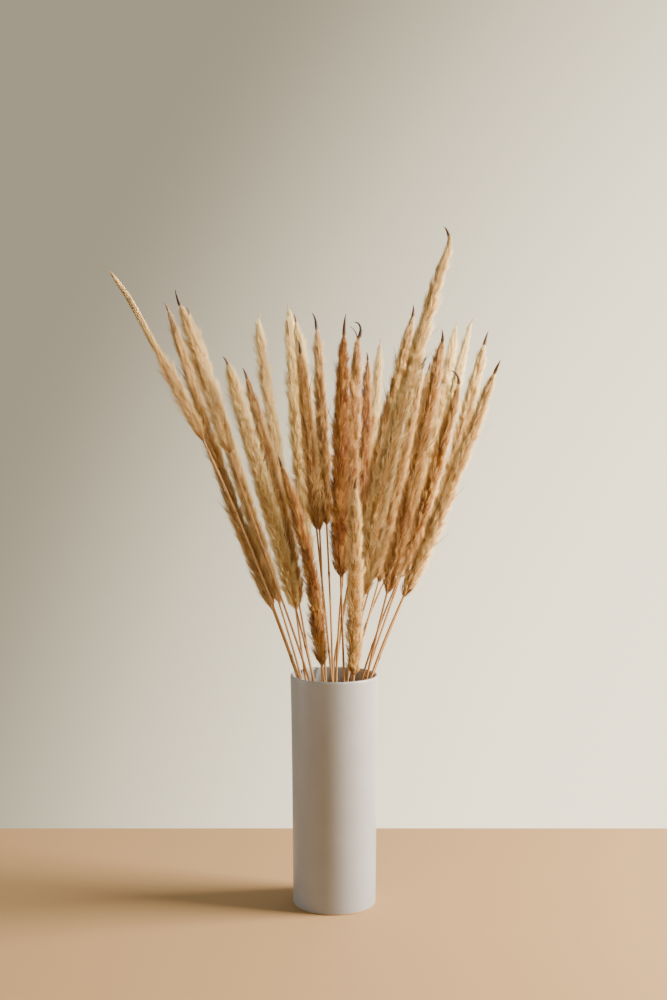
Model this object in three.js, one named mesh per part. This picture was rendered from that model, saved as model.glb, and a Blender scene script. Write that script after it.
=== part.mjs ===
// A cylinder vase of white glazed ceramic that holds twenty-seven dried pampas grass stems.
// Millimetres, +Z up. The origin is the centre of the vase's flat base, and the bunch's
// best side faces -Y. Every stem is a stalk, which runs from the vase's floor to its bare
// tip, and a plume of soft fibre, which is a sleeve around the upper part of that stalk.
import * as THREE from 'three';

// Vase
const VASE_HEIGHT = 250;
const VASE_BASE_RADIUS = 44.9;
const VASE_RIM_RADIUS = 47.7;
const VASE_WALL = 3.6;
const VASE_FLOOR = 8;
const VASE_BASE_EDGE = 1.6; // radius of the edge around the base
const VASE_INNER_CORNER = 6; // radius where the floor meets the wall
const VASE_SIDES = 36;

// Stalks
const STALK_FOOT_RADIUS = 1.7;
const STALK_TIP_RADIUS = 0.6;
const STALK_SIDES = 8;
const STALK_STEP = 60; // distance between cross-sections below the plume, about
const STALK_FOOT_HEIGHT = VASE_FLOOR + 1.1; // middle of the cut end, which stands at a slant
const STALK_FOOT_CIRCLE = 37.5; // how far out the foot of the outermost stalk stands
const STALK_RIM_CIRCLE = 42; // how far out the outermost stalk crosses the mouth
const STALK_TWIST = THREE.MathUtils.degToRad(35); // how far the crossing stalks pass each other

// Plumes
const BARE_TIP = 8; // length of stalk that sticks out of a plume
const PLUME_BORE_GAP = 0.35; // room between a plume's bore and its stalk
const PLUME_LEAST_WALL = 0.9;
const PLUME_STATIONS = 8;
const PLUME_SHOULDER = 0.2; // part of a plume's length in which it reaches its full width
const PLUME_BASE_WIDTH = 0.2; // width at its very base, as a part of the greatest width
const PLUME_BLUNTNESS = 2.4; // a higher number keeps a plume wide for longer
const PLUME_POINT = 1.03; // where the taper would come to a point, as a part of the length

// The stems, from left to right. rim is where a stalk crosses the mouth of the vase (x, y),
// half is its place half-way up from there to the tip (x, y), and tip is its end (x, y, z).
// plume is the length of the plume, radius is half its greatest width, and blunt is how
// slowly it tapers, where that isn't PLUME_BLUNTNESS.
const STEMS = [
  { rim: [-38, -16], half: [-120, -30], tip: [-225, -60, 680], plume: 190, radius: 8 },
  { rim: [-41, -1], half: [-115, 0], tip: [-180, 5, 650], plume: 340, radius: 10.5 },
  { rim: [-27, -29], half: [-95, -55], tip: [-160, -85, 655], plume: 165, radius: 11 },
  { rim: [-38, 14], half: [-102, 43], tip: [-165, 80, 650], plume: 340, radius: 10.5 },
  { rim: [-23, -17], half: [-65, -45], tip: [-110, -80, 590], plume: 270, radius: 11.5 },
  { rim: [-24, -2], half: [-55, -10], tip: [-95, -15, 580], plume: 250, radius: 12 },
  { rim: [-33, 25], half: [-60, 65], tip: [-90, 120, 645], plume: 285, radius: 10.5 },
  { rim: [-14, 38], half: [-40, 115], tip: [-55, 170, 660], plume: 305, radius: 10 },
  { rim: [-11, -38], half: [-25, -65], tip: [-55, -110, 490], plume: 230, radius: 10.5 },
  { rim: [-10, 19], half: [-20, 75], tip: [-45, 110, 645], plume: 240, radius: 10.5 },
  { rim: [-3, -25], half: [-20, -50], tip: [-35, -90, 605], plume: 190, radius: 10 },
  { rim: [-2, 8], half: [-10, 10], tip: [-20, 15, 640], plume: 220, radius: 10.5 },
  { rim: [10, -39], half: [5, -55], tip: [10, -100, 630], plume: 265, radius: 12.5 },
  { rim: [2, -13], half: [15, -30], tip: [25, -45, 630], plume: 255, radius: 11.5 },
  { rim: [2, 26], half: [28, 50], tip: [38, 75, 600], plume: 190, radius: 9.5 },
  { rim: [20, -37], half: [20, -85], tip: [20, -140, 470], plume: 225, radius: 11.5 },
  { rim: [-1, 41], half: [35, 100], tip: [55, 170, 620], plume: 265, radius: 10.5 },
  { rim: [15, 2], half: [40, -10], tip: [85, -20, 645], plume: 300, radius: 11.5 },
  { rim: [19, -25], half: [55, -60], tip: [115, -130, 713], plume: 385, radius: 15, blunt: 1.7 },
  { rim: [16, 14], half: [60, 25], tip: [100, 45, 595], plume: 245, radius: 10.5 },
  { rim: [23, 32], half: [70, 65], tip: [110, 105, 590], plume: 250, radius: 10.5 },
  { rim: [34, -24], half: [75, -55], tip: [110, -95, 615], plume: 275, radius: 11.5 },
  { rim: [18, 38], half: [100, 100], tip: [145, 165, 640], plume: 295, radius: 11.5 },
  { rim: [37, 20], half: [105, 55], tip: [155, 90, 640], plume: 285, radius: 10.5 },
  { rim: [30, -15], half: [90, -20], tip: [135, -40, 580], plume: 225, radius: 11 },
  { rim: [42, 4], half: [115, 10], tip: [165, 15, 620], plume: 270, radius: 11.5 },
  { rim: [39, -15], half: [105, -50], tip: [165, -95, 585], plume: 260, radius: 11.5 },
];

// Plume colours run from light straw on the outside of the bunch to brown in its middle.
const STRAW = new THREE.Color('#c9a477');
const BROWN = new THREE.Color('#9a6a41');
const STALK_COLOUR = '#a9825a';
const GLAZE_COLOUR = '#d9d5cc';

// Outer radius of the vase at height z: nearly straight, with a slight flare to the mouth.
function vaseRadius(z) {
  const t = z / VASE_HEIGHT;
  return VASE_BASE_RADIUS + (VASE_RIM_RADIUS - VASE_BASE_RADIUS) * (0.6 * t + 0.4 * t ** 4);
}

// Points of an arc from one angle to another, in degrees, around (x, y).
function arc(x, y, radius, from, to, steps) {
  return Array.from({ length: steps + 1 }, (_, i) => {
    const angle = THREE.MathUtils.degToRad(from + ((to - from) * i) / steps);
    return new THREE.Vector2(x + radius * Math.cos(angle), y + radius * Math.sin(angle));
  });
}

// The vase's section runs out along the base, up the outside, over the lip, down the
// inside and back to the axis along the floor.
function makeVase() {
  const lip = VASE_WALL / 2;
  const insideTop = VASE_HEIGHT - lip;
  const insideBottom = VASE_FLOOR + VASE_INNER_CORNER;
  const heights = [0.2, 0.4, 0.6, 0.75, 0.88].map((t) => t * VASE_HEIGHT);
  const outside = heights.map((z) => new THREE.Vector2(vaseRadius(z), z));
  const inside = heights.map((z) => new THREE.Vector2(vaseRadius(z) - VASE_WALL, z)).reverse();
  const lipMiddle = vaseRadius(insideTop) - lip;
  const cornerMiddle = vaseRadius(insideBottom) - VASE_WALL - VASE_INNER_CORNER;
  const section = [
    new THREE.Vector2(0, 0),
    ...arc(VASE_BASE_RADIUS - VASE_BASE_EDGE, VASE_BASE_EDGE, VASE_BASE_EDGE, -90, 0, 3),
    ...outside,
    ...arc(lipMiddle, insideTop, lip, 0, 180, 6),
    ...inside,
    ...arc(cornerMiddle, insideBottom, VASE_INNER_CORNER, 0, -90, 3),
    new THREE.Vector2(0, VASE_FLOOR),
  ];
  const shape = new THREE.LatheGeometry(section, VASE_SIDES);
  shape.rotateX(Math.PI / 2); // from the lathe's Y axis to upright Z
  return shape;
}

// A stalk's foot stands across the vase from where it crosses the mouth, turned by the
// twist, so that all the stalks pass the vase's axis on the same side and none meet.
function stemCurve({ rim, half, tip }) {
  const out = Math.hypot(...rim);
  const footOut = STALK_FOOT_CIRCLE * Math.min(1, out / STALK_RIM_CIRCLE);
  const footAngle = Math.atan2(rim[1], rim[0]) + Math.PI - STALK_TWIST;
  return new THREE.CatmullRomCurve3([
    new THREE.Vector3(footOut * Math.cos(footAngle), footOut * Math.sin(footAngle),
      STALK_FOOT_HEIGHT),
    new THREE.Vector3(rim[0], rim[1], VASE_HEIGHT),
    new THREE.Vector3(half[0], half[1], (VASE_HEIGHT + tip[2]) / 2),
    new THREE.Vector3(...tip),
  ]);
}

// Stations along a stem, as distances from its foot: below the plume, along it, and the tip.
function stemStations(length, plume) {
  const plumeEnd = length - BARE_TIP;
  const plumeStart = plumeEnd - plume;
  const steps = Math.max(3, Math.round(plumeStart / STALK_STEP));
  const below = Array.from({ length: steps }, (_, i) => (plumeStart * i) / steps);
  const along = Array.from({ length: PLUME_STATIONS }, (_, i) => {
    const s = i / (PLUME_STATIONS - 1);
    return plumeStart + plume * s;
  });
  return { below, along, all: [...below, ...along, length] };
}

// A cross-section at each station: its middle, and two directions square to the curve that
// turn as little as they can from one station to the next.
function crossSections(curve, length, stations) {
  let side = new THREE.Vector3(1, 0, 0);
  return stations.map((distance) => {
    const middle = curve.getPointAt(distance / length);
    const along = curve.getTangentAt(distance / length);
    side = side.clone().addScaledVector(along, -side.dot(along)).normalize();
    return { middle, side, across: side.clone().cross(along) };
  });
}

// Turns a profile around an axis and bends that axis along a stem. A profile point holds a
// radius and the number of a cross-section, which the bend puts in its place on the curve.
function turnAndBend(profile, sections) {
  const shape = new THREE.LatheGeometry(profile, STALK_SIDES);
  const place = shape.getAttribute('position');
  for (let i = 0; i < place.count; i += 1) {
    const { middle, side, across } = sections[Math.round(place.getY(i))];
    const point = middle.clone()
      .addScaledVector(side, place.getX(i))
      .addScaledVector(across, place.getZ(i));
    place.setXYZ(i, point.x, point.y, point.z);
  }
  shape.computeVertexNormals();
  return shape;
}

function stalkRadius(distance, length) {
  return THREE.MathUtils.lerp(STALK_FOOT_RADIUS, STALK_TIP_RADIUS, distance / length);
}

// Half the width of a plume at the fraction s of its length: a quick round shoulder at the
// base, times a superellipse that stays wide for most of the length and ends narrow.
function plumeRadius(s, radius, bluntness) {
  const shoulder = Math.min(1, s / PLUME_SHOULDER);
  const round = Math.max(PLUME_BASE_WIDTH, Math.sqrt(shoulder * (2 - shoulder)));
  const taper = (1 - (s / PLUME_POINT) ** bluntness) ** (1 / bluntness);
  return radius * round * taper;
}

function addMesh(group, name, shape, colour, roughness) {
  const finish = new THREE.MeshStandardMaterial({ color: colour, roughness, metalness: 0 });
  const mesh = new THREE.Mesh(shape, finish);
  mesh.name = name;
  group.add(mesh);
}

const bunch = new THREE.Group();
addMesh(bunch, 'vase', makeVase(), GLAZE_COLOUR, 0.4);

STEMS.forEach((stem, index) => {
  const number = String(index + 1).padStart(2, '0');
  const curve = stemCurve(stem);
  const length = curve.getLength();
  const { below, along, all } = stemStations(length, stem.plume);
  const sections = crossSections(curve, length, all);
  const last = all.length - 1;

  const stalkProfile = [
    new THREE.Vector2(0, 0),
    ...all.map((distance, i) => new THREE.Vector2(stalkRadius(distance, length), i)),
    new THREE.Vector2(0, last),
  ];
  addMesh(bunch, `stalk_${number}`, turnAndBend(stalkProfile, sections), STALK_COLOUR, 0.75);

  // The sleeve's section goes up the outside, then down its bore, back to where it began.
  const bore = along.map((distance, i) => new THREE.Vector2(
    stalkRadius(distance, length) + PLUME_BORE_GAP, below.length + i));
  const outside = bore.map((point, i) => {
    const s = (along[i] - along[0]) / stem.plume;
    const width = plumeRadius(s, stem.radius, stem.blunt ?? PLUME_BLUNTNESS);
    const radius = Math.max(width, point.x + PLUME_LEAST_WALL);
    return new THREE.Vector2(radius, point.y);
  });
  const sleeveProfile = [...outside, ...bore.reverse(), outside[0]];
  const shade = Math.min(1, Math.abs(stem.half[0]) / 120);
  const colour = BROWN.clone().lerp(STRAW, shade);
  addMesh(bunch, `plume_${number}`, turnAndBend(sleeveProfile, sections), colour, 0.95);
});

export default bunch;
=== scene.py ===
"""Dried pampas grass in a white glazed vase: twenty-seven soft plumes on bare stems.

Metres, +Z up, origin at the centre of the vase's base, best side towards -Y.
"""
from math import pi, radians

import bpy
import numpy as np
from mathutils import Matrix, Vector


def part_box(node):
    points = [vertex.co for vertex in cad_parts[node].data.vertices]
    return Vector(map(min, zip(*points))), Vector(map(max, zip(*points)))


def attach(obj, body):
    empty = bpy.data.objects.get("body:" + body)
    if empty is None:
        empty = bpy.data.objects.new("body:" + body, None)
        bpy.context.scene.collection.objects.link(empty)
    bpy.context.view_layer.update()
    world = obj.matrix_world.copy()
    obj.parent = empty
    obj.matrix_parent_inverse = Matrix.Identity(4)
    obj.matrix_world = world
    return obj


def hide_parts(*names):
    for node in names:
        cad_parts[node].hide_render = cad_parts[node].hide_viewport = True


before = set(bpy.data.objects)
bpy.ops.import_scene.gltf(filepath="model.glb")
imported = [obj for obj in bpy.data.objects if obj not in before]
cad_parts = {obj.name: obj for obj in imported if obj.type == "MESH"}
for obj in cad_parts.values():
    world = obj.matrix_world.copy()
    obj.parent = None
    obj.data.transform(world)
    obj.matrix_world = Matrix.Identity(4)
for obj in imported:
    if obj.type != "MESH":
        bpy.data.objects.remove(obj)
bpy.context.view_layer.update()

# --- Camera -------------------------------------------------------------------------------
# Stands a little above the lip of the vase and looks very slightly down.

MM = 0.001
LENS_MM, SENSOR_MM = 50, 36
CAMERA_DISTANCE = 1486 * MM
CAMERA_HEIGHT = 532 * MM
CAMERA_PITCH = 3.6  # degrees below level
CAMERA_OFFSET = -1 * MM

lens = bpy.data.cameras.new("camera")
lens.lens, lens.sensor_fit = LENS_MM, "VERTICAL"
lens.sensor_height = lens.sensor_width = SENSOR_MM
lens.dof.use_dof = False
camera = bpy.data.objects.new("camera", lens)
camera.location = (CAMERA_OFFSET, -CAMERA_DISTANCE, CAMERA_HEIGHT)
camera.rotation_euler = (radians(90 - CAMERA_PITCH), 0, 0)
bpy.context.collection.objects.link(camera)
bpy.context.scene.camera = camera

# --- Floor, backdrop and light ------------------------------------------------------------
# A plain pale tabletop that ends a little way behind the vase, a pale surround that is
# brighter on the right, one broad soft light from the right, and two weak ones from the left
# and the front.

TABLE_COLOUR = "#9c7e58"
SURROUND_COLOUR = "#e1d4b5"
TABLE_BACK_EDGE = 265 * MM
TABLE_REACH = 3.0
BRIGHT_SIDE = (0.75, 0.55, -0.4)  # the way towards the bright part of the surround
DIM, BRIGHT = 0.56, 3.6  # strength of the surround's two parts


def linear(hex_colour):
    """sRGB hex to linear RGBA: each channel goes through the sRGB transfer curve."""
    srgb = np.array([int(hex_colour[i:i + 2], 16) for i in (1, 3, 5)]) / 255
    rgb = np.where(srgb <= 0.04045, srgb / 12.92, ((srgb + 0.055) / 1.055) ** 2.4)
    return (*rgb.tolist(), 1.0)


def add_node(tree, kind, settings=(), **inputs):
    """Adds a node, sets its properties, and sets or links its inputs by name."""
    node = tree.nodes.new(kind)
    for name, value in dict(settings).items():
        setattr(node, name, value)
    for name, value in inputs.items():
        key = int(name[1:]) if name[0] == "i" and name[1:].isdigit() else name.replace("_", " ")
        socket = node.inputs[key]
        if isinstance(value, bpy.types.NodeSocket):
            tree.links.new(value, socket)
        else:
            socket.default_value = value
    return node


def new_material(name):
    """A material with an empty node tree and its output node."""
    material = bpy.data.materials.new(name)
    material.use_nodes = True
    material.node_tree.nodes.clear()
    return material, material.node_tree, material.node_tree.nodes.new("ShaderNodeOutputMaterial")


def mesh_object(name, points, faces, smooth=True):
    """A mesh object at the origin from an array of points and arrays of 3 or 4 corner faces."""
    mesh = bpy.data.meshes.new(name)
    groups = [np.asarray(f, dtype=np.int32) for f in faces if len(f)]
    corners = np.concatenate([f.ravel() for f in groups])
    totals = np.concatenate([np.full(len(f), f.shape[1], dtype=np.int32) for f in groups])
    starts = np.concatenate([[0], np.cumsum(totals)[:-1]]).astype(np.int32)
    mesh.vertices.add(len(points))
    mesh.vertices.foreach_set("co", np.asarray(points, dtype=np.float32).ravel())
    mesh.loops.add(len(corners))
    mesh.loops.foreach_set("vertex_index", corners)
    mesh.polygons.add(len(totals))
    mesh.polygons.foreach_set("loop_start", starts)
    mesh.polygons.foreach_set("loop_total", totals)
    mesh.polygons.foreach_set("use_smooth", np.full(len(totals), smooth))
    mesh.update(calc_edges=True)
    piece = bpy.data.objects.new(name, mesh)
    bpy.context.collection.objects.link(piece)
    return piece


floor = mesh_object(
    "tabletop",
    np.array([[-TABLE_REACH, -TABLE_REACH, 0], [TABLE_REACH, -TABLE_REACH, 0],
              [TABLE_REACH, TABLE_BACK_EDGE, 0], [-TABLE_REACH, TABLE_BACK_EDGE, 0]]),
    [[[0, 1, 2, 3]]], smooth=False)
material, tree, out = new_material("matt tabletop")
shader = add_node(tree, "ShaderNodeBsdfPrincipled", Base_Color=linear(TABLE_COLOUR), Roughness=0.7)
tree.links.new(shader.outputs[0], out.inputs["Surface"])
floor.data.materials.append(material)

# The surround is brighter behind and to the right of the bunch than in front of it.
world = bpy.data.worlds.new("surround")
world.use_nodes = True
tree = world.node_tree
background = tree.nodes["Background"]
background.inputs["Color"].default_value = linear(SURROUND_COLOUR)
towards = add_node(tree, "ShaderNodeTexCoord").outputs["Generated"]
bright_side = add_node(tree, "ShaderNodeVectorMath", {"operation": "DOT_PRODUCT"},
                       i0=towards, i1=BRIGHT_SIDE)
level = add_node(tree, "ShaderNodeMapRange", {"interpolation_type": "SMOOTHSTEP"},
                 Value=bright_side.outputs["Value"], From_Min=0.36, From_Max=0.78, To_Min=DIM, To_Max=BRIGHT)
tree.links.new(level.outputs[0], background.inputs["Strength"])
bpy.context.scene.world = world


def soft_light(name, place, aim, width, height, watts, colour, spread=180):
    """A rectangular lamp at place, turned so that it shines towards aim within its spread."""
    lamp = bpy.data.lights.new(name, "AREA")
    lamp.shape, lamp.size, lamp.size_y = "RECTANGLE", width, height
    lamp.energy, lamp.color, lamp.spread = watts, linear(colour)[:3], radians(spread)
    holder = bpy.data.objects.new(name, lamp)
    holder.location = place
    towards = np.array(aim, dtype=float) - np.array(place, dtype=float)
    holder.rotation_euler = Vector(towards).to_track_quat("-Z", "Y").to_euler()
    bpy.context.collection.objects.link(holder)


soft_light("window", (1.7, -0.1, 1.1), (0, 0, 0.35), 0.9, 1.3, 240, "#fff0da")
soft_light("front fill", (1.1, -1.7, 1.0), (0, 0, 0.6), 0.7, 0.5, 1.5, "#fff4e4", spread=14)
soft_light("left strip", (-1.5, 0.05, 0.45), (0, 0, 0.3), 0.5, 1.2, 8, "#f2f1f0")

# --- Vase ---------------------------------------------------------------------------------
# A slip-cast stoneware cylinder, off-white satin glaze inside and out, with a softly rounded
# lip. Its glaze colour is painted shade: the off-white darkened to a mid grey for the shade the
# vase stands in. The foot is a flat ring wiped clean of glaze, so it sits dry on the table.

# Both glaze colours are painted shade: the off-white glaze darkened to grey.
GLAZE_IN_PAINTED_SHADE = "#989a9f"
POOLED_GLAZE_IN_PAINTED_SHADE = "#93959a"
IRON_SPECK = "#b9a58a"
BARE_CLAY = "#cdb79c"
WALL = 3.6 * MM
FLOOR_THICKNESS = 8 * MM
FOOT_EDGE = 1.6 * MM
FLAT_FOOT_INSET = 8 * MM
INNER_CORNER = 6 * MM
BASE_RADIUS = 44.9 * MM
VASE_TURNS = 160

vase_top_corner = np.array(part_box("vase")[1])
vase_height = vase_top_corner[2]
rim_radius = vase_top_corner[0]


def wall_radius(z):
    """Outer radius at height z: a nearly straight taper that flares slightly to the lip."""
    t = z / vase_height
    return BASE_RADIUS + (rim_radius - BASE_RADIUS) * (0.6 * t + 0.4 * t ** 4)


def arc(x, y, radius, start, end, steps):
    """Points of a circle's arc around (x, y), from one angle in degrees to another."""
    angle = np.radians(np.linspace(start, end, steps))
    return np.stack([x + radius * np.cos(angle), y + radius * np.sin(angle)], axis=1)


def turned(profile, turns):
    """Carries a profile (radius, height) that starts and ends on the axis round that axis.

    Returns points and faces. The two ends share one point each, so the poles are closed.
    """
    ring = profile[1:-1]
    angle = np.linspace(0, 2 * pi, turns, endpoint=False)
    x = ring[:, :1] * np.cos(angle)
    y = ring[:, :1] * np.sin(angle)
    z = np.repeat(ring[:, 1:], turns, axis=1)
    points = np.stack([x, y, z], axis=2).reshape(-1, 3)
    poles = [[0, 0, profile[0, 1]], [0, 0, profile[-1, 1]]]
    points = np.concatenate([points, poles])
    row = np.arange(len(ring) - 1)[:, None] * turns
    here = np.arange(turns)[None]
    following = (here + 1) % turns
    quads = np.stack([row + here, row + following, row + turns + following, row + turns + here],
                     axis=2).reshape(-1, 4)
    bottom, top, last = len(points) - 2, len(points) - 1, (len(ring) - 1) * turns
    i, j = here[0], following[0]
    caps = np.concatenate([
        np.stack([j, i, np.full(turns, bottom)], axis=1),
        np.stack([last + i, last + j, np.full(turns, top)], axis=1)])
    return points, [quads, caps]


lip = WALL / 2
inside_bottom = FLOOR_THICKNESS + INNER_CORNER
outside = np.linspace(0.03, 0.985, 40) * vase_height
inside = np.linspace(0.985, 0.08, 36) * vase_height
lip_centre = wall_radius(vase_height - lip) - lip
corner_centre = wall_radius(inside_bottom) - WALL - INNER_CORNER
vase_profile = np.concatenate([
    [[0, 0], [BASE_RADIUS - FLAT_FOOT_INSET, 0]],
    arc(BASE_RADIUS - FOOT_EDGE, FOOT_EDGE, FOOT_EDGE, -90, 0, 8),
    np.stack([wall_radius(outside), outside], axis=1),
    arc(lip_centre, vase_height - lip, lip, 0, 180, 17),
    np.stack([wall_radius(inside) - WALL, inside], axis=1),
    arc(corner_centre, inside_bottom, INNER_CORNER, 0, -90, 8),
    [[0, FLOOR_THICKNESS]],
])
vase = mesh_object("glazed_vase", *turned(vase_profile, VASE_TURNS))

# Satin stoneware glaze: an even off-white, painted down to a mid grey as painted shade, with
# faint cloudy pooling about 30 mm across, a few iron specks under half a millimetre, a soft
# orange-peel surface and a dry clay foot ring.
material, tree, out = new_material("satin white glaze")
place = add_node(tree, "ShaderNodeTexCoord").outputs["Object"]
clouds = add_node(tree, "ShaderNodeTexNoise", Vector=place, Scale=32.0, Detail=4.0)
tone = add_node(tree, "ShaderNodeMapRange", Value=clouds.outputs["Fac"], From_Min=0.35, From_Max=0.7)
cloudy_glaze_in_painted_shade = add_node(tree, "ShaderNodeMix", {"data_type": "RGBA"}, i0=tone.outputs[0],
                  i6=linear(GLAZE_IN_PAINTED_SHADE), i7=linear(POOLED_GLAZE_IN_PAINTED_SHADE))
speck = add_node(tree, "ShaderNodeTexVoronoi", Vector=place, Scale=190.0)
speck_size = add_node(tree, "ShaderNodeTexNoise", Vector=place, Scale=90.0)
reach = add_node(tree, "ShaderNodeMath", {"operation": "MULTIPLY"}, i0=speck_size.outputs["Fac"], i1=0.13)
is_speck = add_node(tree, "ShaderNodeMath", {"operation": "LESS_THAN"},
                    i0=speck.outputs["Distance"], i1=reach.outputs[0])
rare = add_node(tree, "ShaderNodeSeparateColor", Color=speck.outputs["Color"])
chosen = add_node(tree, "ShaderNodeMath", {"operation": "GREATER_THAN"}, i0=rare.outputs[0], i1=0.93)
specks = add_node(tree, "ShaderNodeMath", {"operation": "MULTIPLY"},
                  i0=is_speck.outputs[0], i1=chosen.outputs[0])
speckled = add_node(tree, "ShaderNodeMix", {"data_type": "RGBA"}, i0=specks.outputs[0],
                    i6=cloudy_glaze_in_painted_shade.outputs[2], i7=linear(IRON_SPECK))
height = add_node(tree, "ShaderNodeSeparateXYZ", Vector=place)
foot_wave = add_node(tree, "ShaderNodeTexNoise", Vector=place, Scale=60.0)
foot_line = add_node(tree, "ShaderNodeMath", {"operation": "MULTIPLY_ADD"}, i0=foot_wave.outputs["Fac"],
                     i1=-0.0008, i2=height.outputs["Z"])
foot = add_node(tree, "ShaderNodeMapRange", Value=foot_line.outputs[0], From_Min=0.0005, From_Max=0.0011,
                To_Min=1.0, To_Max=0.0)
colour = add_node(tree, "ShaderNodeMix", {"data_type": "RGBA"}, i0=foot.outputs[0],
                  i6=speckled.outputs[2], i7=linear(BARE_CLAY))
gloss = add_node(tree, "ShaderNodeMapRange", Value=foot.outputs[0], To_Min=0.32, To_Max=0.85)
peel = add_node(tree, "ShaderNodeTexNoise", Vector=place, Scale=240.0, Detail=3.0)
relief = add_node(tree, "ShaderNodeBump", Height=peel.outputs["Fac"], Strength=0.12, Distance=0.0004)
shader = add_node(tree, "ShaderNodeBsdfPrincipled", Base_Color=colour.outputs[2],
                  Roughness=gloss.outputs[0], IOR=1.5, Normal=relief.outputs[0])
tree.links.new(shader.outputs[0], out.inputs["Surface"])
vase.data.materials.append(material)
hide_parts("vase")
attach(vase, "root")

# --- Stems --------------------------------------------------------------------------------
# Each is one dried grass stalk: a smooth tan culm with a few darker joints, stood in the
# vase, that runs on through its plume and ends in a dark dried sheath, often bent to a hook.

STEM_COUNT = 27
STEM_SIDES = 12
CULM_RADIUS = 1.7 * MM
CULM_TOP_RADIUS = 0.7 * MM
SHEATH_RADIUS = 2.1 * MM
SHEATH_TIP_RADIUS = 0.22 * MM
SHEATH_HIDDEN = 5  # millimetres of a sheath that are inside the fluff
JOINT_SWELL = 0.35 * MM
JOINT_SPREAD = 2.2 * MM
JOINT_DARKNESS = 0.65
BARE_PART = 0.62  # part of a stem's length that can have joints
STEM_STEP = 3 * MM
STEM_NAMES = [f"{number:02d}" for number in range(1, STEM_COUNT + 1)]

# The dried tip of each stem: how far it sways out to the right and then leans over to the
# left, in degrees, how long that stretch is, how much of the tip stands clear of the fluff,
# both in millimetres, and how dark it is, from 0 for straw to 1 for nearly black.
TIPS = {
    "01": (-6, 8, 45, 3, 0.1), "02": (0, 16, 14, 8, 0.6), "03": (0, -4, 12, 15, 1.0),
    "04": (0, 16, 10, 9, 0.9), "05": (0, 35, 12, 8, 0.8), "06": (0, 20, 14, 10, 0.9),
    "07": (0, -30, 24, 5, 0.15), "08": (0, 6, 12, 5, 0.1), "09": (0, 12, 12, 10, 0.9),
    "10": (0, 16, 12, 8, 0.7), "11": (0, 10, 14, 12, 0.9), "12": (0, 32, 18, 17, 1.0),
    "13": (0, -8, 22, 21, 0.9), "14": (30, 85, 26, 20, 1.0), "15": (0, 20, 12, 8, 0.8),
    "16": (0, -18, 14, 11, 0.8), "17": (0, 0, 8, 5, 0.1), "18": (0, 22, 16, 10, 0.9),
    "19": (14, 60, 46, 8, 0.9), "20": (0, -12, 14, 12, 0.9), "21": (0, 10, 10, 8, 0.8),
    "22": (0, 30, 14, 11, 0.9), "23": (0, 6, 8, 5, 0.1), "24": (0, -20, 20, 6, 0.1),
    "25": (0, 95, 26, 18, 0.8), "26": (0, -6, 16, 14, 0.9), "27": (0, -10, 16, 13, 0.9),
}

# A tip that has split: the second prong's sway, lean and length, and its radius and darkness
# at its two ends.
SECOND_PRONG = {"14": (-10, 60, 18)}
PRONG_RADII = (1 * MM, 0.25 * MM)
PRONG_DARKNESS = (0.4, 1)


def centre_line(node):
    """Middle of each ring of corners along a CAD stalk, from foot to tip.

    The corners are sorted by height. Each ring has eight, and the two end rings have a ninth
    in the middle of the end face.
    """
    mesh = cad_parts[node].data
    corners = np.empty(len(mesh.vertices) * 3, dtype=np.float32)
    mesh.vertices.foreach_get("co", corners)
    corners = np.unique(np.round(corners.reshape(-1, 3) * 1e5), axis=0) / 1e5
    corners = corners[np.argsort(corners[:, 2])]
    rings = [corners[:9], *np.split(corners[9:-9], (len(corners) - 18) // 8), corners[-9:]]
    return np.array([ring.mean(axis=0) for ring in rings])


def smooth_path(knots, step):
    """A curve through the knots, cut into equal steps.

    Between two knots it is the cubic whose slope at each knot is that of the line from the
    knot before to the knot after, with chord lengths as the parameter.
    """
    knots = np.asarray(knots, dtype=float)
    t = np.concatenate([[0], np.cumsum(np.linalg.norm(np.diff(knots, axis=0), axis=1))])
    slope = np.gradient(knots, t, axis=0)
    fine = np.linspace(0, t[-1], 1200)
    k = np.clip(np.searchsorted(t, fine, side="right") - 1, 0, len(t) - 2)
    gap = (t[k + 1] - t[k])[:, None]
    u = ((fine - t[k])[:, None]) / gap
    line = ((2 * u ** 3 - 3 * u ** 2 + 1) * knots[k] + (u ** 3 - 2 * u ** 2 + u) * gap * slope[k]
            + (3 * u ** 2 - 2 * u ** 3) * knots[k + 1] + (u ** 3 - u ** 2) * gap * slope[k + 1])
    run = np.concatenate([[0], np.cumsum(np.linalg.norm(np.diff(line, axis=0), axis=1))])
    marks = np.linspace(0, run[-1], max(2, int(round(run[-1] / step)) + 1))
    return np.stack([np.interp(marks, run, line[:, c]) for c in range(3)], axis=1), marks


def side_vectors(path):
    """Direction along a path at each point, and two directions square to it.

    The first of the two is always the projection of the one before, so that they don't spin.
    """
    along = np.gradient(path, axis=0)
    along /= np.linalg.norm(along, axis=1, keepdims=True)
    side = np.empty_like(path)
    last = np.array([1.0, 0, 0])
    for i, direction in enumerate(along):
        last = last - direction * (last @ direction)
        last /= np.linalg.norm(last)
        side[i] = last
    return along, side, np.cross(along, side)


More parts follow.
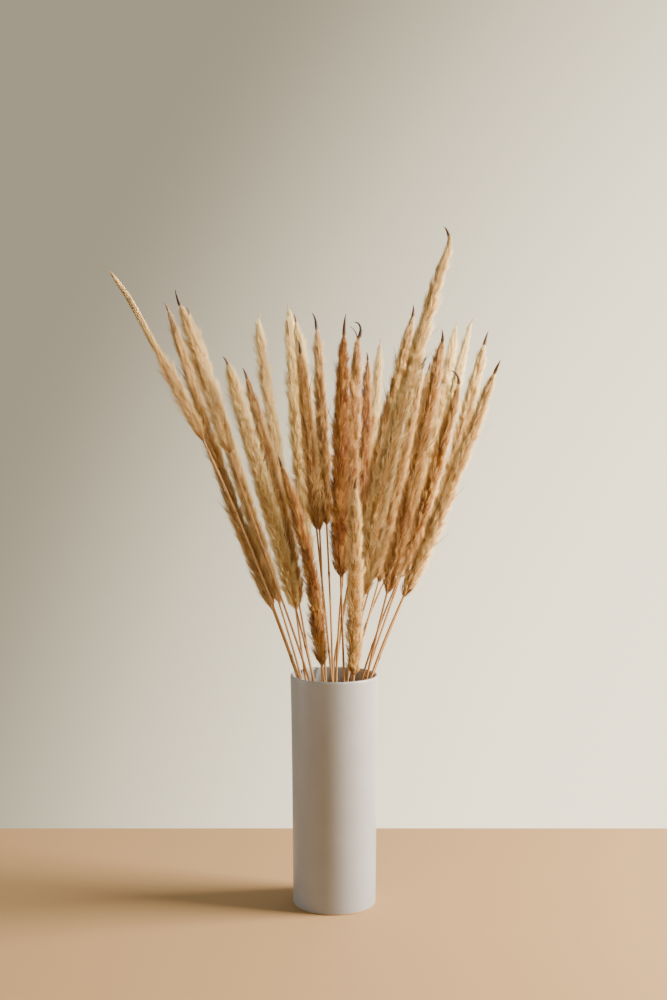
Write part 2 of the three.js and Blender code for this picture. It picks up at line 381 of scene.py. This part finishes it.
def swept(path, radius, sides):
    """Carries a circle of changing radius along a path, with a closing point at each end.

    Returns points and faces: the rings come first, and the two closing points last.
    """
    along, side, across = side_vectors(path)
    angle = np.linspace(0, 2 * pi, sides, endpoint=False)
    ring = side[:, None] * np.cos(angle)[None, :, None] + across[:, None] * np.sin(angle)[None, :, None]
    points = (path[:, None] + ring * radius[:, None, None]).reshape(-1, 3)
    points = np.concatenate([points, [path[0], path[-1] + along[-1] * radius[-1]]])
    row = np.arange(len(path) - 1)[:, None] * sides
    here = np.arange(sides)[None]
    following = (here + 1) % sides
    quads = np.stack([row + here, row + following, row + sides + following, row + sides + here],
                     axis=2).reshape(-1, 4)
    first, final, last = len(points) - 2, len(points) - 1, (len(path) - 1) * sides
    i, j = here[0], following[0]
    caps = np.concatenate([
        np.stack([j, i, np.full(sides, first)], axis=1),
        np.stack([last + i, last + j, np.full(sides, final)], axis=1)])
    return points, [quads, caps]


def ring_values(numbers, sides):
    """One number for each point of a swept tube, from one number for each of its rings."""
    return np.concatenate([np.repeat(numbers, sides), numbers[[0, -1]]])


def joined(parts):
    """Puts closed parts together as one mesh.

    Each part is its points, its faces (an array of quads and one of triangles) and a
    dictionary with numbers for each point. Returns the same three for the whole.
    """
    shifts = np.cumsum([0] + [len(points) for points, _, _ in parts[:-1]])
    faces = [np.concatenate([part[1][kind] + shift for part, shift in zip(parts, shifts)])
             for kind in (0, 1)]
    values = {name: np.concatenate([part[2][name] for part in parts]) for name in parts[0][2]}
    return np.concatenate([part[0] for part in parts]), faces, values


def hooked(path, step, sway, lean, stretch):
    """Bends the last stretch of a path, about the Y axis.

    At the fraction t of the stretch the direction has turned left by lean times t squared,
    less sway times the sine of half a turn times t.
    """
    count = max(2, int(round(stretch / step)))
    kept = path[:-count]
    direction = (kept[-1] - kept[-2]) / np.linalg.norm(kept[-1] - kept[-2])
    t = np.arange(1, count + 1) / count
    turn = -np.radians(lean * t ** 2 - sway * np.sin(pi * t))
    x = direction[0] * np.cos(turn) + direction[2] * np.sin(turn)
    z = direction[2] * np.cos(turn) - direction[0] * np.sin(turn)
    steps = np.stack([x, np.full(count, direction[1]), z], axis=1) * step
    return np.concatenate([kept, kept[-1] + np.cumsum(steps, axis=0)])


def add_values(piece, **values):
    """Stores one number for each point of a mesh under each name, for its material."""
    for name, numbers in values.items():
        made = piece.data.attributes.new(name, "FLOAT", "POINT")
        made.data.foreach_set("value", np.asarray(numbers, dtype=np.float32))


# Dried grass stem: tan, satin where the cuticle is whole, with lengthwise grain 0.4 mm wide,
# brown joints and a nearly black dried tip.
stem_material, tree, out = new_material("dry grass stem")
place = add_node(tree, "ShaderNodeTexCoord").outputs["Object"]
distance = add_node(tree, "ShaderNodeAttribute", {"attribute_name": "from_foot"})
turn = add_node(tree, "ShaderNodeAttribute", {"attribute_name": "turn"})
dark = add_node(tree, "ShaderNodeAttribute", {"attribute_name": "dark"})
shade = add_node(tree, "ShaderNodeAttribute", {"attribute_name": "shade"})
wrap = add_node(tree, "ShaderNodeCombineXYZ", X=turn.outputs["Fac"], Y=distance.outputs["Fac"])
grain_place = add_node(tree, "ShaderNodeMapping", Vector=wrap.outputs[0], Scale=(1.6, 9.0, 1.0))
grain = add_node(tree, "ShaderNodeTexNoise", Vector=grain_place.outputs[0], Scale=4.0, Detail=5.0)
blotch = add_node(tree, "ShaderNodeTexNoise", Vector=place, Scale=38.0, Detail=3.0)
light_dark = add_node(tree, "ShaderNodeMapRange", Value=grain.outputs["Fac"], From_Min=0.15, From_Max=0.85)
straw = add_node(tree, "ShaderNodeMix", {"data_type": "RGBA"}, i0=light_dark.outputs[0],
                 i6=linear("#9c7644"), i7=linear("#c49c64"))
patch = add_node(tree, "ShaderNodeMapRange", Value=blotch.outputs["Fac"], From_Min=0.45, From_Max=0.75,
                 To_Max=0.6)
aged = add_node(tree, "ShaderNodeMix", {"data_type": "RGBA"}, i0=patch.outputs[0],
                i6=straw.outputs[2], i7=linear("#9a6636"))
toned = add_node(tree, "ShaderNodeMix", {"data_type": "RGBA"}, i0=shade.outputs["Fac"],
                 i6=aged.outputs[2], i7=linear("#7a4a28"))
colour = add_node(tree, "ShaderNodeMix", {"data_type": "RGBA"}, i0=dark.outputs["Fac"],
                  i6=toned.outputs[2], i7=linear("#2c150b"))
relief = add_node(tree, "ShaderNodeBump", Height=grain.outputs["Fac"], Strength=0.2, Distance=0.0003)
shader = add_node(tree, "ShaderNodeBsdfPrincipled", Base_Color=colour.outputs[2], Roughness=0.5,
                  IOR=1.45, Normal=relief.outputs[0])
tree.links.new(shader.outputs[0], out.inputs["Surface"])

stem_paths = {}
for order, number in enumerate(STEM_NAMES):
    rng = np.random.default_rng(100 + order)
    straight, marks = smooth_path(centre_line(f"stalk_{number}"), STEM_STEP)
    step = marks[1]
    sway, lean, stretch, clear, darkness = TIPS[number]
    path = hooked(straight, step, sway, lean, stretch * MM)
    stem_paths[number] = (path, marks)
    length = marks[-1]
    culm = CULM_RADIUS + (CULM_TOP_RADIUS - CULM_RADIUS) * marks / length
    joints = np.arange(rng.uniform(0.06, 0.12), length * BARE_PART, rng.uniform(0.13, 0.19))
    near = np.exp(-((marks[:, None] - joints[None]) / JOINT_SPREAD) ** 2).max(axis=1)
    sheath_long = (clear + SHEATH_HIDDEN) * MM
    sheath = np.clip((marks - (length - sheath_long)) / sheath_long, 0, 1)
    swollen = np.maximum(culm, SHEATH_RADIUS * np.sqrt(darkness) * np.clip(sheath * 5, 0, 1))
    radius = swollen + (SHEATH_TIP_RADIUS - swollen) * sheath ** 2 + JOINT_SWELL * near
    dark_here = np.maximum(darkness * np.clip(sheath * 4, 0, 1), JOINT_DARKNESS * near)
    tubes = [(path, radius, marks, dark_here)]
    if number in SECOND_PRONG:
        sway, lean, long = SECOND_PRONG[number]
        count = int(round(long * MM / STEM_STEP))
        prong = hooked(straight[:-2], step, sway, lean, long * MM)[-count - 2:]
        tubes.append((prong, np.linspace(*PRONG_RADII, len(prong)), marks[-len(prong):],
                      np.linspace(*PRONG_DARKNESS, len(prong))))
    parts = []
    for line, thick, places, browns in tubes:
        points, faces = swept(line, thick, STEM_SIDES)
        half_turn = np.abs(np.linspace(-1, 1, STEM_SIDES, endpoint=False))
        parts.append((points, faces, {
            "from_foot": ring_values(places, STEM_SIDES),
            "turn": np.concatenate([np.tile(half_turn, len(places)), [0, 0]]),
            "dark": ring_values(browns, STEM_SIDES)}))
    points, faces, values = joined(parts)
    stem = mesh_object(f"stem_{number}", points, faces)
    add_values(stem, shade=np.full(len(points), rng.uniform(0, 0.55)), **values)
    stem.data.materials.append(stem_material)
    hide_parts(f"stalk_{number}")
    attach(stem, "root")

# --- Plumes -------------------------------------------------------------------------------
# Each plume is a spike of short branches that spiral round the stem, and every branch carries
# a lock of silky fibres that lie forward, nearly along it: brown at the root, darkened there
# partly as painted shade between the locks, straw at the tip.

FIBRES_PER_MM = 24
FIBRE_WIDTH = 0.22 * MM  # half the width of one fibre at its middle, coarser than a real hair
LOCKS_PER_MM = 1.7
LOCK_SHORTEST, LOCK_LONGEST = 11, 22  # millimetres
LOCK_LIFT = 2.4  # mean height in millimetres by which the end of a lock stands out
LOCK_MOST_LIFT = 6
STRAY_SHARE = 0.15
GOLDEN_TURN = 2.39996  # radians between one branch and the next
CORE_SIDES = 14
CORE_STATIONS = 48
CORE_LEAST_RADIUS = 0.9 * MM

# Each plume's look: how pale it is, from 0 for the brown ones in the middle to 1 for straw
# ones, and how bluntly it ends, where a higher number keeps it wide for longer.
PLUMES = {
    "01": (0.60, 4.0), "02": (0.40, 2.0), "03": (0.60, 2.2), "04": (0.60, 2.4), "05": (0.85, 3.2),
    "06": (0.25, 2.2), "07": (0.85, 2.6), "08": (0.95, 3.0), "09": (0.05, 2.0), "10": (0.80, 2.4),
    "11": (0.22, 2.2), "12": (0.30, 2.0), "13": (0.00, 2.4), "14": (0.15, 2.3), "15": (0.00, 2.0),
    "16": (0.50, 2.2), "17": (0.80, 2.0), "18": (0.45, 2.2), "19": (0.60, 1.8), "20": (0.40, 2.0),
    "21": (0.45, 2.2), "22": (0.18, 2.6), "23": (0.85, 2.3), "24": (1.00, 1.8), "25": (0.25, 2.4),
    "26": (0.70, 2.6), "27": (0.50, 2.2),
}

# The first plume's upper part is a flat straw: from where on, and the width left there.
THIN_FROM, THIN_WIDTH = {"01": 0.48}, 0.58

# Dark awns: how far along its plume each is rooted, as a share of its length, and which way it
# points, in degrees round the stem from +X. A plume with no entry has one on its far side.
AWN_WIDTH = 0.5 * MM
AWN_TONE, LEAST_TONE = -2.0, -1.2  # no fibre's tone is below the second, so awns are told apart
USUAL_AWN = [(0.5, 100)]
AWNS = {
    "02": [(0.30, 190), (0.55, 200), (0.75, 170)], "04": [(0.62, 150)],
    "06": [(0.55, 20), (0.3, 200)], "11": [(0.72, 330)], "12": [(0.5, 20)],
    "13": [(0.35, 10), (0.6, 170)], "16": [(0.7, 200)], "18": [(0.80, 190), (0.66, 180)],
    "19": [(0.70, 10), (0.62, 5)], "20": [(0.8, 20)], "22": [(0.55, 5)], "24": [(0.6, 10)],
    "26": [(0.5, 0)], "27": [(0.42, 5), (0.20, 0), (0.68, 10)],
}


def plume_width(u, bluntness, thin_from=2.0):
    """Half-width of a plume as a fraction, at the fraction u of its length.

    A quick round shoulder over the first fifth, times a superellipse of that bluntness, times
    a square root that closes the last part to a point. Past thin_from it is thinner.
    """
    shoulder = np.clip(u / 0.2, 0, 1)
    taper = (1 - (np.clip(u, 0, 1) / 1.03) ** bluntness) ** (1 / bluntness)
    close = np.sqrt(np.clip((1.01 - u) / 0.06, 0.02, 1))
    thin = 1 - (1 - THIN_WIDTH) * np.clip((u - thin_from) / 0.07, 0, 1)
    return np.maximum(0.2, np.sqrt(shoulder * (2 - shoulder))) * taper * close * thin


def plume_reach(node, path, marks):
    """Where a CAD plume starts and ends along its stem, and its greatest radius.

    Each corner of the CAD solid is measured from the nearest point of the stem's path.
    """
    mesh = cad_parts[node].data
    corners = np.empty(len(mesh.vertices) * 3, dtype=np.float32)
    mesh.vertices.foreach_get("co", corners)
    corners = np.unique(np.round(corners.reshape(-1, 3) * 1e5), axis=0) / 1e5
    away = np.linalg.norm(corners[:, None] - path[None], axis=2)
    nearest = away.argmin(axis=1)
    return marks[nearest].min(), marks[nearest].max(), away.min(axis=1).max()


def along_path(path, marks, frames, at):
    """Points and the three frame directions at distances along a path.

    Past its end the path goes on straight.
    """
    def pick(values):
        return np.stack([np.interp(at, marks, values[:, c]) for c in range(3)], axis=-1)
    along, side, across = (pick(v) for v in frames)
    beyond = np.maximum(at - marks[-1], 0)[..., None]
    return pick(path) + along * beyond, along, side, across


def fibres(path, marks, frames, root, angle, length, inner, outer, sway, width, lift):
    """Closed three-sided needles, one for each fibre, as whole arrays.

    A fibre starts at distance root along the stem, inner from it, and runs forward by its
    length while it moves out to the radius outer, fast at first and then level, and turns
    round the stem by sway. lift times the square of the fraction of its length is added, so
    that its end stands out. Two stations carry rings of three points, and the last is a
    single point. Returns points, faces, and how far along its fibre each point is.
    """
    v = np.array([0.0, 0.45, 1.0])
    at = root[:, None] + length[:, None] * v
    away = inner[:, None] + (outer - inner)[:, None] * (1 - (1 - v) ** 2.4) + lift[:, None] * v ** 2
    turn = angle[:, None] + sway[:, None] * v ** 1.5
    middle, along, side, across = along_path(path, marks, frames, at)
    out = side * np.cos(turn)[..., None] + across * np.sin(turn)[..., None]
    round_ = across * np.cos(turn)[..., None] - side * np.sin(turn)[..., None]
    middle = middle + out * away[..., None]
    thick = width[:, None] * np.array([0.8, 1.0])
    corner = np.arange(3) * 2 * pi / 3
    rings = (middle[:, :2, None]
             + out[:, :2, None] * (thick[..., None] * np.cos(corner))[..., None]
             + round_[:, :2, None] * (thick[..., None] * np.sin(corner))[..., None])
    count = len(root)
    points = np.concatenate([rings.reshape(count, 6, 3), middle[:, 2:]], axis=1)
    quads = [[i, (i + 1) % 3, 3 + (i + 1) % 3, 3 + i] for i in range(3)]
    tips = [[3 + i, 3 + (i + 1) % 3, 6] for i in range(3)] + [[0, 2, 1]]
    base = np.arange(count)[:, None, None] * 7
    along_fibre = np.tile(np.concatenate([np.repeat(v[:2], 3), [1.0]]), count)
    faces = [(base + np.array(quads)).reshape(-1, 4), (base + np.array(tips)).reshape(-1, 3)]
    return points.reshape(-1, 3), faces, along_fibre


# Dried plume fibre: fine silky hairs, caramel brown at the root, darkened there partly as painted
# shade between the locks, and pale straw at the tip, a satin sheen, and streaks about 10 mm wide
# and 30 mm long that are darker or paler at random.
plume_material, tree, out = new_material("dried plume fibre")
along_value = add_node(tree, "ShaderNodeAttribute", {"attribute_name": "along"})
tone_value = add_node(tree, "ShaderNodeAttribute", {"attribute_name": "tone"})
pale_value = add_node(tree, "ShaderNodeAttribute", {"attribute_name": "pale"})
place = add_node(tree, "ShaderNodeTexCoord").outputs["Object"]
streaks = add_node(tree, "ShaderNodeMapping", Vector=place, Scale=(95.0, 95.0, 32.0))
cloud = add_node(tree, "ShaderNodeTexNoise", Vector=streaks.outputs[0], Scale=1.0, Detail=3.0)
body_tone = add_node(tree, "ShaderNodeMath", {"operation": "MULTIPLY_ADD"}, i0=cloud.outputs["Fac"], i1=2.1,
                     i2=tone_value.outputs["Fac"])
root_mix = add_node(tree, "ShaderNodeMapRange", Value=body_tone.outputs[0], From_Min=0.95, From_Max=2.05)
# The root colours are partly painted shade, darker where the gaps between locks are.
root_colour_with_painted_shade = add_node(tree, "ShaderNodeMix", {"data_type": "RGBA"}, i0=root_mix.outputs[0],
                       i6=linear("#85471a"), i7=linear("#d6a055"))
tip_colour = add_node(tree, "ShaderNodeMix", {"data_type": "RGBA"}, i0=root_mix.outputs[0],
                      i6=linear("#ab6c2c"), i7=linear("#f8ce78"))
pale_root = add_node(tree, "ShaderNodeMix", {"data_type": "RGBA"}, i0=pale_value.outputs["Fac"],
                     i6=root_colour_with_painted_shade.outputs[2], i7=linear("#dcb271"))
pale_tip = add_node(tree, "ShaderNodeMix", {"data_type": "RGBA"}, i0=pale_value.outputs["Fac"],
                    i6=tip_colour.outputs[2], i7=linear("#fff0b2"))
fade = add_node(tree, "ShaderNodeMapRange", {"interpolation_type": "SMOOTHSTEP"},
                Value=along_value.outputs["Fac"], From_Min=0.0, From_Max=0.75)
colour = add_node(tree, "ShaderNodeMix", {"data_type": "RGBA"}, i0=fade.outputs[0],
                  i6=pale_root.outputs[2], i7=pale_tip.outputs[2])
awn_mix = add_node(tree, "ShaderNodeMath", {"operation": "LESS_THAN"},
                   i0=tone_value.outputs["Fac"], i1=LEAST_TONE)
colour = add_node(tree, "ShaderNodeMix", {"data_type": "RGBA"}, i0=awn_mix.outputs[0],
                  i6=colour.outputs[2], i7=linear("#4a2a18"))
shader = add_node(tree, "ShaderNodeBsdfPrincipled", Base_Color=colour.outputs[2], Roughness=0.55, IOR=1.4,
                  Sheen_Weight=0.3, Sheen_Roughness=0.4)
glow = add_node(tree, "ShaderNodeBsdfTranslucent", Color=colour.outputs[2])
both = add_node(tree, "ShaderNodeMixShader", i0=0.45, i1=shader.outputs[0], i2=glow.outputs[0])
tree.links.new(both.outputs[0], out.inputs["Surface"])

for order, number in enumerate(STEM_NAMES):
    rng = np.random.default_rng(500 + order)
    path, marks = stem_paths[number]
    frames = side_vectors(path)
    start, end, reach = plume_reach(f"plume_{number}", path, marks)
    end = marks[-1] - TIPS[number][3] * MM
    long = end - start
    pale, bluntness = PLUMES[number]
    thin_from = THIN_FROM.get(number, 2.0)

    # The locks: where each is rooted, how far out it reaches, and how its end stands out.
    lock_count = int(long / MM * LOCKS_PER_MM)
    lock_place = (np.arange(lock_count) + rng.uniform(0, 1, lock_count)) / lock_count
    lock_angle = np.arange(lock_count) * GOLDEN_TURN + rng.normal(0, 0.5, lock_count)
    lock_tone = rng.normal(0.55 * np.sqrt(pale) - 0.1, 0.2, lock_count)
    lock_out = rng.uniform(0.72, 0.98, lock_count)
    lock_lift = np.minimum(rng.exponential(LOCK_LIFT, lock_count), LOCK_MOST_LIFT)
    lock_long = rng.uniform(LOCK_SHORTEST, LOCK_LONGEST, lock_count) * MM
    lock_sway = rng.normal(0, 0.2, lock_count)

    # The fibres of each lock differ a little in root, length, direction and depth, and some
    # stray out of it. Past thin_from they lie flat, except at the very end.
    count = int(long / MM * FIBRES_PER_MM * np.clip(reach / (11 * MM), 0.7, 1.2))
    lock = rng.integers(0, lock_count, count)
    root = start + np.clip(lock_place[lock] * long + rng.normal(0, 1.5 * MM, count), 0, long * 0.97)
    furthest = end + (2 - 9 * rng.uniform(0, 1, count) ** 1.5) * MM
    length = np.clip(lock_long[lock] * rng.normal(1, 0.14, count), 6 * MM, furthest - root)
    length = np.maximum(length, 3 * MM)
    share = (root + length - start) / long
    flat = np.clip((share - thin_from) / 0.05, 0, 1) * np.clip((1.0 - share) / 0.02, 0, 1)
    length = np.maximum(np.minimum(length * (1 + flat), furthest - root), length)
    depth = rng.beta(3.0, 1.3, count)
    end_width = np.maximum(plume_width((root + length - start) / long, bluntness, thin_from), 0.08)
    stray = rng.uniform(0, 1, count) < STRAY_SHARE
    beside = rng.normal(0, 0.24, count)
    stand_out = np.where(stray, rng.uniform(0, 3, count), rng.normal(0, 0.25, count))
    points, faces, along_fibre = fibres(
        path, marks, frames,
        root=root - 2 * MM,
        angle=lock_angle[lock] + beside + 0.4 * stray * rng.normal(0, 1, count),
        length=length,
        inner=np.full(count, 0.8 * MM),
        outer=0.97 * reach * end_width * lock_out[lock] * (0.35 + 0.65 * depth),
        sway=lock_sway[lock] - 0.75 * beside + rng.normal(0, 0.05, count),
        width=FIBRE_WIDTH * rng.uniform(0.6, 1.2, count),
        lift=(lock_lift[lock] + stand_out) * MM * np.clip(end_width * 2, 0, 1) * (1 - 0.92 * flat))

    # Fibres near the stem's dark tip are darker. Strays and raised locks are paler, a painted
    # highlight where they stand out into the light, and fibres that lie deeper in the plume are
    # darker, painted shade.
    near_end = np.clip(((root - start) / long - 0.84) / 0.1, 0, 1)
    tone = np.clip(lock_tone[lock] + rng.normal(0, 0.08, count), -0.5, 1.2)
    tone += 0.6 * (0.4 - tone) * flat
    # Painted light: paler strays and raised locks, darker fibres deeper in the plume.
    tone += 0.2 * stray + 0.05 * lock_lift[lock] + 0.25 * (depth - 0.6)
    tone -= 0.35 * TIPS[number][4] * near_end
    parts = [(points, faces, {"along": along_fibre, "tone": np.repeat(tone, len(points) // count)})]

    # Dark awns stand out of the plume.
    share, way = (np.array(v, dtype=float) for v in zip(*AWNS.get(number, USUAL_AWN)))
    few = len(share)
    points, faces, along_fibre = fibres(
        path, marks, frames,
        root=start + share * long,
        angle=np.radians(way),
        length=rng.uniform(26, 36, few) * MM,
        inner=np.full(few, 1.0 * MM),
        outer=reach * plume_width(share, bluntness, thin_from),
        sway=rng.normal(0, 0.15, few),
        width=np.full(few, AWN_WIDTH),
        lift=rng.uniform(5.5, 8.5, few) * MM)
    parts.append((points, faces, {"along": along_fibre, "tone": np.full(len(points), AWN_TONE)}))

    # The core closes the view between the fibres. It carries the dark root end of the fibre colour,
    # partly painted shade between the locks.
    core_marks = np.linspace(start + 3 * MM, end - 2 * MM, CORE_STATIONS)
    core_path = np.stack([np.interp(core_marks, marks, path[:, c]) for c in range(3)], axis=1)
    core_share = (core_marks - start) / long
    bare = np.clip((core_share - thin_from) / 0.1, 0, 1)
    core_width = plume_width(core_share, bluntness, thin_from - 0.1)
    core_radius = np.maximum((0.56 + 0.12 * bare) * reach * core_width - 0.6 * MM * (1 - bare),
                             CORE_LEAST_RADIUS)
    points, faces = swept(core_path, core_radius, CORE_SIDES)
    straw = ring_values(bare, CORE_SIDES)
    parts.append((points, faces, {"along": 0.1 + 0.45 * straw, "tone": 0.15 + 0.05 * straw}))

    points, faces, values = joined(parts)
    plume = mesh_object(f"fluff_{number}", points, faces)
    add_values(plume, pale=np.full(len(points), pale), **values)
    plume.data.materials.append(plume_material)
    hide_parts(f"plume_{number}")
    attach(plume, "root")
